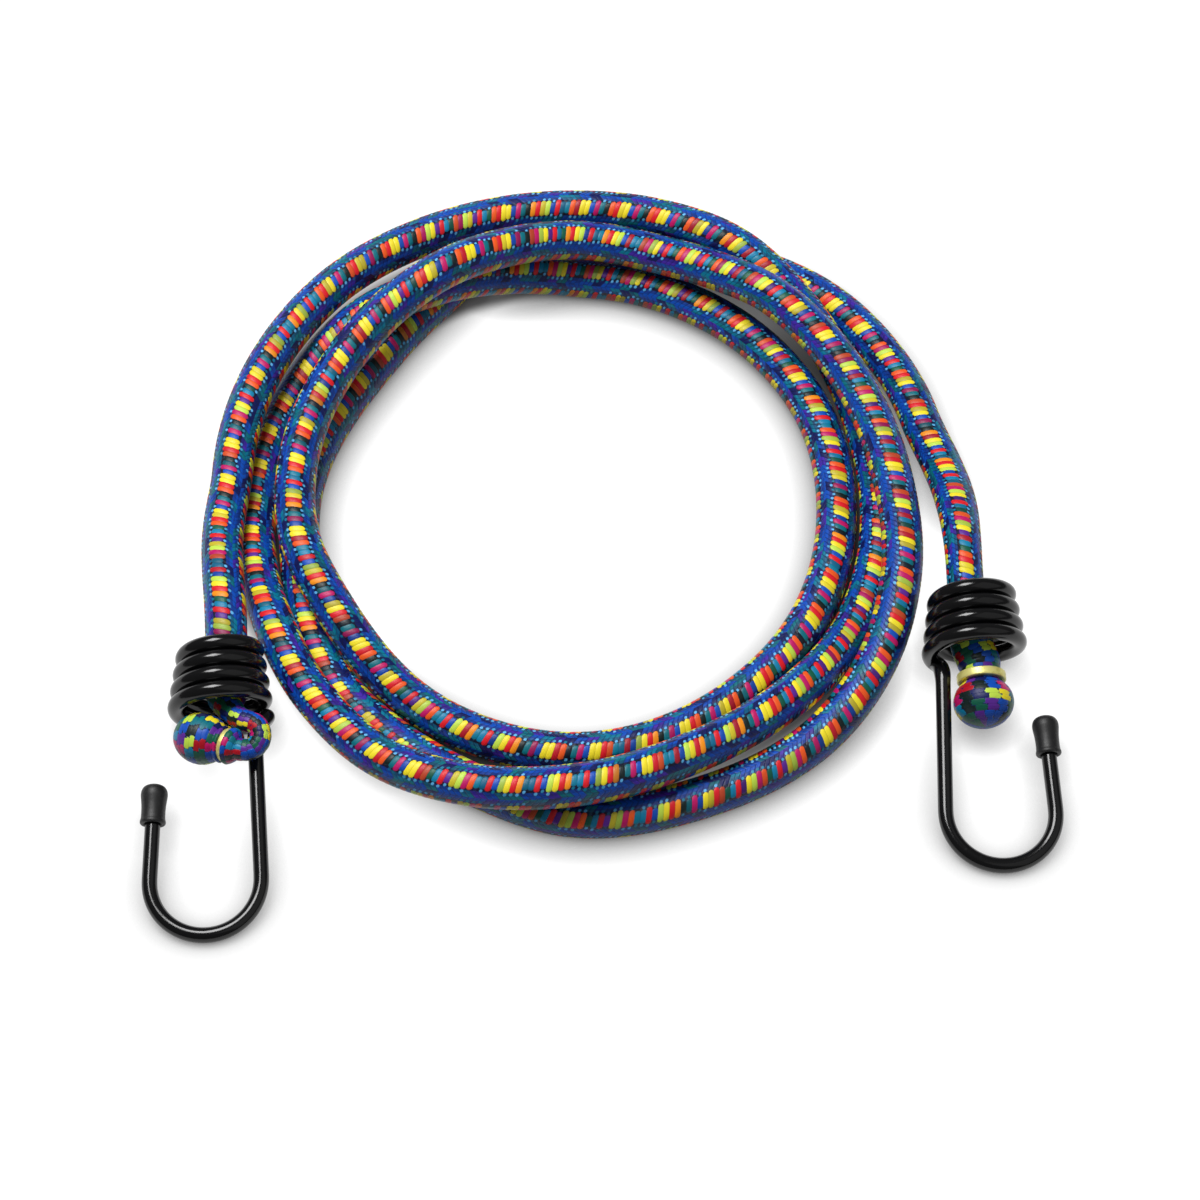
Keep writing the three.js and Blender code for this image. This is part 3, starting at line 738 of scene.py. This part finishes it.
def braid_material():
    """Colour bands of fat floats along the cord, between stripes of small slanted blue stitches."""
    m = Shader("braid")
    s, degrees = m.yarn()
    across = m.math("WRAP", degrees, BAND_ANGLE / 2, -BAND_ANGLE / 2)
    aside = m.math("ABSOLUTE", across)
    band = m.math("FLOOR", m.math("DIVIDE", m.math("ADD", degrees, BAND_ANGLE / 2), BAND_ANGLE))
    band = m.math("FLOORED_MODULO", band, float(BANDS))
    picks = m.math("ADD", m.math("DIVIDE", s, PICK), m.math("MULTIPLY", band, float(BAND_SHIFT_PICKS)))
    picks = m.math("MULTIPLY_ADD", across, FLOAT_SLANT / FLOAT_ANGLE, picks)
    pick = m.math("FLOOR", picks)
    within = m.math("SUBTRACT", m.math("FRACT", picks), 0.5)
    place = m.math("FLOORED_MODULO", pick, float(PICKS_PER_REPEAT))
    place = m.math("DIVIDE", m.math("ADD", place, 0.5), float(PICKS_PER_REPEAT))
    # Floats of some picks are shorter, and the ends of neighbours a little uneven.
    # A ramp holds no more than 1, so the lengths are halved in it.
    reach = m.steps(place, [(v / 2, v / 2, v / 2, 1) for v in FLOAT_LENGTHS])
    uneven = m.math("MULTIPLY_ADD", m.random(pick, band), FLOAT_UNEVEN, FLOAT_LEAST)
    reach = m.math("MULTIPLY", m.math("MULTIPLY", reach, 2.0), uneven)
    share = m.math("DIVIDE", aside, m.math("MULTIPLY", reach, FLOAT_ANGLE))
    taper = m.math("SUBTRACT", FLOAT_FULLNESS, m.math("POWER", share, FLOAT_TAPER))
    inside = m.math("SUBTRACT", taper, m.math("MULTIPLY", m.math("ABSOLUTE", within), 2.0))
    is_float = m.ease(inside, *FLOAT_EDGE)
    # Colour of the pick in the repeat, from three sets of shades mixed at random
    repeat = m.math("FLOOR", m.math("DIVIDE", picks, float(PICKS_PER_REPEAT)))
    chance = m.random(repeat, m.math("ADD", band, SET_SEED))
    first = m.steps(place, FIRST_SET)
    second = m.steps(place, SECOND_SET)
    third = m.steps(place, THIRD_SET)
    floats = m.mix(m.math("GREATER_THAN", chance, SECOND_SET_FROM), first, second)
    floats = m.mix(m.math("GREATER_THAN", chance, THIRD_SET_FROM), floats, third)
    worn = m.ease(m.random(m.math("ADD", pick, WEAR_SEED), band), *WORN)
    floats = m.mix(m.math("MULTIPLY", worn, FLOAT_WEAR), floats, NOTCH)
    # Blue stripes: long stitches in patches of several blues
    stitches = m.math("MULTIPLY_ADD", aside, STITCH_SLANT, m.math("DIVIDE", s, PICK))
    in_stitch = m.math("ABSOLUTE", m.math("SUBTRACT", m.math("FRACT", stitches), 0.5))
    half = m.math("FLOOR", m.math("DIVIDE", degrees, BAND_ANGLE / 2))
    row = m.math("FLOOR", m.math("DIVIDE", m.math("SUBTRACT", aside, FLOAT_ANGLE), STITCH_ANGLE))
    stitch = m.random(m.math("FLOOR", stitches), m.math("MULTIPLY_ADD", row, ROW_SEED, half))
    patch = m.random(m.math("FLOOR", m.math("DIVIDE", stitches, STITCHES_PER_PATCH)), half)
    blue = m.steps(patch, STRIPE_BLUES)
    dark = m.math("MULTIPLY", m.ease(stitch, *STITCH_DARK), STITCH_DARK_SHARE)
    blue = m.mix(dark, blue, BLUE_DARK)
    # A row of pale round stitches beside the floats
    row_at = m.math("MULTIPLY_ADD", reach, FLOAT_ANGLE, STITCH_ROW - FLOAT_ANGLE)
    off_row = m.math("MULTIPLY", m.math("SUBTRACT", aside, row_at), DEGREE_LENGTH)
    off_middle = m.math("MULTIPLY", within, PICK)
    off = m.math("SQRT", m.math("ADD", m.math("POWER", off_row, 2.0), m.math("POWER", off_middle, 2.0)))
    chance = m.random(m.math("ADD", pick, DOT_SEED), half)
    dot = m.math("MULTIPLY", m.ease(off, *DOT_EDGE), m.ease(chance, *DOT_SEEN))
    pale = m.mix(m.ease(chance, *DOT_PALE), BLUE_GREEN, BLUE_LIGHT)
    # Painted shade darkens the blue along the row that the pale round stitches sit in
    painted_row_shade = m.ease(m.math("ABSOLUTE", m.math("SUBTRACT", aside, STITCH_ROW)), *ROW_EDGE)
    blue = m.mix(m.math("MULTIPLY", painted_row_shade, ROW_SHADE_SHARE), blue, BLUE_DARK)
    blue = m.mix(dot, blue, pale)
    # Painted shade: near-black blue in the notches between the ends of the floats
    painted_notch_shade = m.ease(m.math("SUBTRACT", aside, FLOAT_ANGLE), *NOTCH_EDGE)
    blue = m.mix(m.math("MULTIPLY", painted_notch_shade, m.math("SUBTRACT", 1.0, dot)), blue, NOTCH)
    colour = m.mix(is_float, blue, floats)
    # Deep painted shade round the ends of the floats, shallow painted shade in the creases between the
    # picks of a block and between the stitches
    stitch_ridge = m.math("MAXIMUM", m.ease(in_stitch, *STITCH_RIDGE), dot)
    stitch_groove = m.math("MULTIPLY_ADD", stitch_ridge, STITCH_GROOVE_SHARE, 1 - STITCH_GROOVE_SHARE)
    end_groove = m.ease(m.math("SUBTRACT", 1.0, share), *END_GROOVE)
    side_groove = m.math("MULTIPLY", m.ease(inside, *SIDE_GROOVE), SIDE_GROOVE_SHARE)
    float_groove = m.math("MULTIPLY_ADD", end_groove, END_GROOVE_SHARE, side_groove)
    ridge = m.between(is_float, stitch_ridge, m.ease(inside, *FLOAT_RIDGE))
    groove = m.between(is_float, stitch_groove, float_groove)
    return finish_yarn(m, colour, ridge, groove, within)


def knot_material():
    """The braid where it is stretched over a bulb: broken patches of colour on blue."""
    m = Shader("braid_stretched")
    s, degrees = m.yarn()
    picks = m.math("DIVIDE", s, KNOT_PICK)
    pick = m.math("FLOOR", picks)
    within = m.math("SUBTRACT", m.math("FRACT", picks), 0.5)
    row = m.math("FLOOR", m.math("DIVIDE", picks, KNOT_PICKS_PER_ROW))
    turned = m.math("DIVIDE", degrees, KNOT_CELL_ANGLE)
    shifted = m.math("ADD", turned, m.math("MULTIPLY", row, KNOT_ROW_SHIFT))
    shifted = m.math("ADD", shifted, m.math("MULTIPLY", pick, KNOT_SLANT))
    shifted = m.math("MULTIPLY_ADD", m.noise(KNOT_RAG_SCALE, detail=2.0), KNOT_RAG, shifted)
    cell = m.math("FLOORED_MODULO", m.math("FLOOR", shifted), float(KNOT_CELLS))
    off_middle = m.math("ABSOLUTE", m.math("SUBTRACT", m.math("FRACT", shifted), 0.5))
    aside = m.math("MULTIPLY", off_middle, 2.0)
    taper = m.math("SUBTRACT", KNOT_FULLNESS, m.math("POWER", aside, FLOAT_TAPER))
    inside = m.math("SUBTRACT", taper, m.math("MULTIPLY", m.math("ABSOLUTE", within), 2.0))
    floats = m.steps(m.random(row, cell), KNOT_COLOURS)
    stitch_along = m.math("FLOOR", m.math("MULTIPLY", picks, KNOT_STITCHES_PER_PICK))
    stitch_round = m.math("FLOOR", m.math("DIVIDE", degrees, KNOT_STITCH_ANGLE))
    stitch = m.random(stitch_along, stitch_round)
    blue = m.mix(m.ease(stitch, *KNOT_STITCH_PALE), BLUE, BLUE_LIGHT)
    blue = m.mix(m.ease(stitch, *KNOT_STITCH_DARK), blue, BLUE_DARK)
    colour = m.mix(m.ease(inside, *KNOT_EDGE), blue, floats)
    # Painted shade in the grooves at the edges of each cell, through finish_yarn
    return finish_yarn(m, colour, m.ease(inside, *KNOT_RIDGE), m.ease(inside, *KNOT_GROOVE), within)


def coat_material():
    """Semi-gloss black coating on wire, with a faint orange-peel surface and dull scuffs."""
    m = Shader("hook_coat")
    scuff = m.ease(m.noise(SCUFF_SCALE, detail=6.0, roughness=0.7), *SCUFF_EDGE)
    m.set(Base_Color=m.mix(scuff, COAT_BLACK, COAT_SCUFFED),
          Roughness=m.math("MULTIPLY_ADD", scuff, SCUFF_ROUGHNESS, COAT_ROUGHNESS),
          Specular_IOR_Level=COAT_SPECULAR)
    m.bump(m.noise(PEEL_SCALE, detail=2.0), strength=0.1, distance=0.0001)
    return m.material


def cap_material():
    """Soft black moulded vinyl."""
    m = Shader("cap_vinyl")
    grain = m.noise(GRAIN_SCALE, detail=3.0)
    dust = m.ease(m.noise(DUST_SCALE, detail=5.0, roughness=0.7), *DUST_EDGE)
    m.set(Base_Color=m.mix(dust, CAP_BLACK, CAP_DUSTY),
          Roughness=m.math("MULTIPLY_ADD", grain, GRAIN_ROUGHNESS, CAP_ROUGHNESS))
    m.bump(grain, strength=0.2, distance=0.00008)
    return m.material


def ring_material():
    """Satin pale brass of the crimp rings, with fine scratches round them."""
    m = Shader("ring_brass")
    s, _ = m.yarn()
    scratches = m.random(m.math("FLOOR", m.math("MULTIPLY", s, SCRATCHES_PER_MM)), 0.0)
    tarnish = m.ease(m.noise(TARNISH_SCALE, detail=5.0, roughness=0.65), *TARNISH_EDGE)
    m.set(Base_Color=m.mix(tarnish, BRASS_PALE, BRASS_TARNISHED),
          Metallic=BRASS_METALLIC,
          Roughness=m.math("MULTIPLY_ADD", scratches, SCRATCH_ROUGHNESS, BRASS_ROUGHNESS))
    m.bump(scratches, strength=0.15, distance=0.00006)
    return m.material


def floor_material():
    """Pale floor that shows white to the camera and keeps the shadows, with painted contact shade and a
    painted shadow under the pile of turns.
    """
    m = Shader("floor")
    m.set(Base_Color=FLOOR_COLOUR, Roughness=FLOOR_ROUGHNESS, Specular_IOR_Level=FLOOR_SPECULAR)
    light = m.node("ShaderNodeLightPath")
    seen = m.math("MAXIMUM", light.outputs["Is Camera Ray"], light.outputs["Is Glossy Ray"])
    seen = m.math("MAXIMUM", seen, light.outputs["Is Transmission Ray"])
    # Painted contact shade: the white lift fades with the ambient occlusion near the cord
    touching = m.node("ShaderNodeAmbientOcclusion", samples=CONTACT_SAMPLES)
    touching.inputs["Distance"].default_value = CONTACT_DISTANCE * MM
    # Painted shadow under the pile of turns, and wider under the turn that is raised at the upper left
    place = m.node("ShaderNodeNewGeometry")
    from_pile = m.distance(place.outputs["Position"], COIL_CENTRE * MM)
    from_raised = m.distance(place.outputs["Position"], RAISED_CENTRE * MM)
    within = m.ease(from_pile, (PILE_INNER + PILE_EDGE) * MM, PILE_INNER * MM)
    beyond_pile = m.ease(from_pile, (PILE_OUTER - PILE_EDGE) * MM, PILE_OUTER * MM)
    beyond_raised = m.ease(from_raised, (RAISED_OUTER - RAISED_EDGE) * MM, RAISED_OUTER * MM)
    outside = m.math("MAXIMUM", within, m.math("MINIMUM", beyond_pile, beyond_raised))
    outside = m.math("MULTIPLY_ADD", outside, PILE_PAINTED_SHADE, 1 - PILE_PAINTED_SHADE)
    lift = m.math("MULTIPLY", m.math("POWER", touching.outputs["AO"], CONTACT_POWER), outside)
    m.set(Emission_Color=WHITE, Emission_Strength=m.math("MULTIPLY", seen, lift))
    return m.material


BRAID = braid_material()
KNOT = knot_material()
COAT = coat_material()
VINYL = cap_material()
BRASS = ring_material()


# Camera

def place_camera():
    data = bpy.data.cameras.new("camera")
    data.lens = VIEW_LENS
    data.sensor_width = SENSOR
    data.clip_start = CLIP_START
    data.clip_end = CLIP_END
    camera = bpy.data.objects.new("camera", data)
    camera.location = ((VIEW_TARGET + VIEW_DISTANCE * VIEW_WAY) * MM).tolist()
    camera.rotation_euler = (rad(90 - VIEW_ELEVATION), 0, 0)
    bpy.context.scene.collection.objects.link(camera)
    bpy.context.scene.camera = camera


place_camera()


# Cord

def crown_of(within):
    """Rounded top of a yarn, by the place across it from -0.5 to 0.5."""
    return np.sqrt(np.clip(1 - (FLOAT_CROWN * within) ** 2, 0, 1))


def braid_relief(s, degrees):
    """Height of the yarns over the cord's radius."""
    across = (degrees + BAND_ANGLE / 2) % BAND_ANGLE - BAND_ANGLE / 2
    band = np.floor((degrees + BAND_ANGLE / 2) / BAND_ANGLE) % BANDS
    picks = s / PICK + band * BAND_SHIFT_PICKS + FLOAT_SLANT * across / FLOAT_ANGLE
    within = picks % 1 - 0.5
    reach = FLOAT_ANGLE * FLOAT_LENGTHS[np.floor(picks).astype(int) % PICKS_PER_REPEAT]
    taper = np.clip(FLOAT_FULLNESS - (np.abs(across) / reach) ** FLOAT_TAPER, 0, 1)
    floats = (CROWN_LEAST + (1 - CROWN_LEAST) * crown_of(within)) * np.sqrt(taper)
    stitches = np.sin(np.pi * (s / PICK + STITCH_SLANT * np.abs(across))) ** 2
    stripe = np.clip((np.abs(across) - FLOAT_ANGLE) / STITCH_ANGLE, 0, 1)
    level = stitches * (1 - stripe) + STRIPE_LEVEL * stripe
    return np.maximum(FLOAT_RELIEF * floats, STITCH_RELIEF * level)


def knot_relief(s, degrees):
    """Height of the spread yarns over the surface of a tail."""
    picks = s / KNOT_PICK
    within = picks % 1 - 0.5
    row = np.floor(picks / KNOT_PICKS_PER_ROW)
    shifted = degrees / KNOT_CELL_ANGLE + row * KNOT_ROW_SHIFT + np.floor(picks) * KNOT_SLANT
    aside = np.abs(shifted % 1 - 0.5) * 2
    return KNOT_RELIEF * crown_of(within) * (1 - aside ** FLOAT_TAPER)


def neck_points(hook, tail):
    """Both ends of the straight cord inside a spring."""
    across = -NECK_OFFSET * hook["side"]
    return placed([(across, NECK_START, 0), (across, -tail["neck_end"], 0)], hook)


def lead_points(coil_end, coil_way, neck):
    """The cord between an end of the coil and a neck."""
    handle = LEAD_HANDLE * np.linalg.norm(coil_end - neck[0])
    way = unit(neck[1] - neck[0])
    return bezier(coil_end, coil_end + handle * coil_way, neck[0] - handle * way, neck[0], LEAD_STEPS)


def cord_route():
    """The whole cord's line from end A to end B, its twist, and the rows at which its stretches end."""
    last = COIL_LAY[-1, 0]
    cad_step = last / COIL_CAD_STEPS
    coil = coil_points(np.linspace(0, last, COIL_STEPS))
    ends = coil_points(np.array([0, cad_step, last - cad_step, last]))
    start_way = unit((ends[0] - ends[1]) * np.array([1, 1, 0]))
    end_way = unit(ends[3] - ends[2])
    first = ends[0] + COIL_STRAIGHT * start_way
    final = ends[3] + COIL_STRAIGHT * end_way
    neck_a = neck_points(HOOK_A, TAIL_A)
    neck_b = neck_points(HOOK_B, TAIL_B)
    stretches = [neck_a[::-1], lead_points(first, start_way, neck_a)[::-1], np.vstack([first, coil, final]),
                 lead_points(final, end_way, neck_b), neck_b]
    lengths = np.cumsum([along(p)[-1] for p in stretches])
    twist = np.interp(np.linspace(0, last, len(coil) + 2), COIL_TWIST[:, 0], COIL_TWIST[:, 1])
    twists = [np.full(len(p), COIL_TWIST[0, 1]) for p in stretches[:2]] + [twist]
    twists += [np.full(len(p), COIL_TWIST[-1, 1]) for p in stretches[3:]]
    rows = [np.column_stack(pair) for pair in zip(stretches, twists)]
    even = resample(np.vstack([rows[0]] + [r[1:] for r in rows[1:]]), PICK / RINGS_PER_PICK)
    ends_at = np.round(lengths / lengths[-1] * (len(even) - 1)).astype(int)
    even = smooth(even, ROUTE_SMOOTHING)
    return even[:, :3], np.radians(even[:, 3])[:, None], ends_at


route, route_twist, marks = cord_route()
facing, beside = section_axes(route, VIEW_WAY, carried=False)
route_axes = (facing * np.cos(route_twist) + beside * np.sin(route_twist),
              beside * np.cos(route_twist) - facing * np.sin(route_twist))
route_along = along(route)

# The cord is squeezed a little where it runs into the spring of hook B
squeeze_from = route_along[marks[3]] - SQUEEZE_LENGTH
squeeze = np.clip((route_along - squeeze_from) / SQUEEZE_LENGTH, 0, 1)
route_radius = CORD_RADIUS - SQUEEZE * squeeze * squeeze * (3 - 2 * squeeze)


def cord_piece(name, first, last):
    """One stretch of the cord's route, as a braided tube."""
    part = slice(first, last + 1)
    axes = (route_axes[0][part], route_axes[1][part])
    piece = tube_mesh(name, route[part], route_radius[part], CORD_SIDES, axes, route_along[first], [BRAID],
                      relief=braid_relief, floor=CORD_LOWEST)
    return piece


def bulb_rows(tail):
    """(distance from the ring, radius) from the waist to the far end of a bulb."""
    bulb = tail["bulb"]
    first = math.asin(tail["waist"] / bulb)
    length = tail["squat"] * bulb
    centre = tail["ring_width"] / 2 + WAIST_MARGIN + length * math.cos(first)
    a = np.linspace(first, BULB_TIP_ANGLE, BULB_STEPS)
    return np.stack([centre - length * np.cos(a), bulb * np.sin(a)], axis=1)


def with_folds(line, ring, way, tail):
    """The same line with the braid bulging over both edges of the ring, which leaves a thin slit."""
    near = np.linalg.norm(line[:, :3] - ring, axis=1) < FOLD_REACH
    fine = np.arange(FOLD_STEPS) / FOLD_STEPS
    dense = [line[i] + t * (line[i + 1] - line[i])
             for i in range(len(line) - 1) for t in (fine if near[i] else [0.0])]
    line = np.array(dense + [line[-1]])
    off = np.abs((line[:, :3] - ring) @ way)
    near = np.linalg.norm(line[:, :3] - ring, axis=1) < FOLD_REACH
    rise = np.clip((off - FOLD_SLIT) / FOLD_RISE, 0, 1)
    fall = np.clip((FOLD_REACH - off) / (FOLD_REACH - FOLD_SLIT - FOLD_RISE), 0, 1)
    fold = tail["fold"] * np.sqrt(rise * (2 - rise)) * np.sqrt(fall * (2 - fall))
    line[near, 3] = np.maximum(line[near, 3], fold[near])
    return line


def tail_piece(name, hook, tail):
    """The cord in front of the neck: bent tail if there is one, waist under the ring, and bulb."""
    across = -NECK_OFFSET * hook["side"]
    ring = np.array([tail["ring"][0], -tail["ring"][1], tail["ring"][2]])
    way = unit([tail["ring_way"][0], -tail["ring_way"][1], tail["ring_way"][2]])
    start = -tail["neck_end"]
    rows = [(across, start, 0, CORD_RADIUS), (across, start - NECK_STRAIGHT, 0, CORD_RADIUS)]
    rows += [(x, -forward, z, radius) for x, forward, z, radius in tail["rows"]]
    bulb = bulb_rows(tail)
    rows.append((*(ring - way * bulb[0, 0]), tail["waist"]))
    rows.append((*(ring + way * bulb[0, 0]), tail["waist"]))
    line = resample(catmull(rows, TAIL_STEPS), TAIL_STEP)
    ball = np.array([(*(ring + way * distance), radius) for distance, radius in bulb[1:]])
    line = np.vstack([line, ball])
    if tail["fold"]:
        line = with_folds(line, ring, way, tail)
    points = placed(line[:, :3], hook)
    axes = section_axes(points, VIEW_WAY, carried=True)
    piece = tube_mesh(name, points, line[:, 3], CORD_SIDES, axes, 0.0, [KNOT],
                      relief=knot_relief, closed=True)
    ring_way = placed(way, hook) - placed(np.zeros(3), hook)
    return piece, placed(ring, hook), ring_way


def ring_piece(name, place, way, tail):
    """A crimp ring with rounded outer edges."""
    bore = tail["waist"] + RING_BORE_FIT
    flat = tail["waist"] + RING_FIT + tail["ring_wall"] - RING_CORNER
    half = tail["ring_width"] / 2
    edge = half - RING_CORNER
    corner = np.linspace(0, np.pi / 2, CORNER_STEPS)
    rise = RING_CORNER * np.sin(corner)
    run = RING_CORNER * np.cos(corner)
    profile = [(bore, -half), *zip(flat + rise, -edge - run), *zip(flat + run, edge + rise)]
    profile += [(bore, half), (bore, -half)]
    return lathe_mesh(name, profile, RING_SEGMENTS, place, way, [BRASS])


coil = cord_piece("coil_braid", marks[1], marks[2])
lead_a = cord_piece("lead_a_braid", marks[0], marks[1])
lead_b = cord_piece("lead_b_braid", marks[2], marks[3])
neck_a = cord_piece("neck_a_braid", 0, marks[0])
neck_b = cord_piece("neck_b_braid", marks[3], len(route) - 1)
tail_a, ring_a_place, ring_a_way = tail_piece("tail_a_braid", HOOK_A, TAIL_A)
tail_b, ring_b_place, ring_b_way = tail_piece("tail_b_braid", HOOK_B, TAIL_B)
ring_a = ring_piece("crimp_a", ring_a_place, ring_a_way, TAIL_A)
ring_b = ring_piece("crimp_b", ring_b_place, ring_b_way, TAIL_B)

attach(coil, "cord")
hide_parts("coil_sheath", "coil_core")
for piece, end in ((lead_a, "a"), (lead_b, "b")):
    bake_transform(piece)
    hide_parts(f"lead_{end}_sheath", f"lead_{end}_core")
for piece, end in ((neck_a, "a"), (neck_b, "b")):
    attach(piece, f"end_{end}")
    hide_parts(f"neck_{end}_sheath", f"neck_{end}_core")
for piece, end in ((tail_a, "a"), (tail_b, "b")):
    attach(piece, f"end_{end}")
    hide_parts(f"tail_{end}")
for piece, end in ((ring_a, "a"), (ring_b, "b")):
    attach(piece, f"end_{end}")
    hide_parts(f"crimp_ring_{end}")


# Hooks

def hook_piece(name, hook):
    """The coated wire of one hook, with rounded ends."""
    line, reach = wire_path(hook["end_angle"], hook["turns"])
    points = placed(line, hook, rolled=True)
    matrix, _ = hook_frame(hook)
    axes = section_axes(points, matrix @ UP, carried=True)
    s = along(points)
    cut = np.minimum(np.minimum(s, s[-1] - s) / WIRE_END_LENGTH, 1)
    radius = reach * (WIRE_END_SHARE + (1 - WIRE_END_SHARE) * np.sqrt(1 - (1 - cut) ** 2))
    return tube_mesh(name, points, radius, WIRE_SIDES, axes, 0.0, [COAT], closed=True)


def cap_piece(name, hook):
    """Moulded cap: domed end, slight waist and rolled lip."""
    profile = np.vstack([CAP_INSIDE, catmull(CAP_OUTSIDE, CAP_STEPS)])
    place = placed(TIP_END + TIP_WAY * (CAP_FIT - (CAP_LENGTH - CAP_END_WALL)), hook, rolled=True)
    way = placed(TIP_WAY, hook, rolled=True) - placed(np.zeros(3), hook, rolled=True)
    return lathe_mesh(name, profile, CAP_SEGMENTS, place, way, [VINYL])


for end, hook in (("a", HOOK_A), ("b", HOOK_B)):
    wire = hook_piece(f"hook_{end}_wire", hook)
    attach(wire, f"hook_body_{end}")
    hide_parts(f"hook_{end}")
    cap = cap_piece(f"cap_{end}_vinyl", hook)
    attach(cap, f"hook_body_{end}")
    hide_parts(f"tip_cap_{end}")


# Floor and light

def add_floor():
    size = FLOOR_SIZE
    corners = [(-size, -size, 0), (size, -size, 0), (size, size, 0), (-size, size, 0)]
    floor = mesh_object("floor", corners, [[0, 1, 2, 3]], materials=[floor_material()])


def area_light(name, place, size, power):
    """A square lamp that faces the middle of the part."""
    data = bpy.data.lights.new(name, "AREA")
    data.shape = "SQUARE"
    data.size = size
    data.energy = power
    lamp = bpy.data.objects.new(name, data)
    lamp.location = place
    x, y, z = place
    lamp.rotation_euler = (math.atan2(math.hypot(x, y), z), 0, math.atan2(-y, -x) - math.pi / 2)
    bpy.context.scene.collection.objects.link(lamp)


def add_world():
    world = bpy.data.worlds.new("studio")
    bpy.context.scene.world = world
    world.use_nodes = True
    background = world.node_tree.nodes["Background"]
    background.inputs["Color"].default_value = WHITE
    background.inputs["Strength"].default_value = WORLD_STRENGTH


add_floor()
area_light("key", KEY_PLACE, KEY_SIZE, KEY_POWER)
area_light("fill", FILL_PLACE, FILL_SIZE, FILL_POWER)
add_world()
bpy.context.scene.view_settings.view_transform = "Standard"
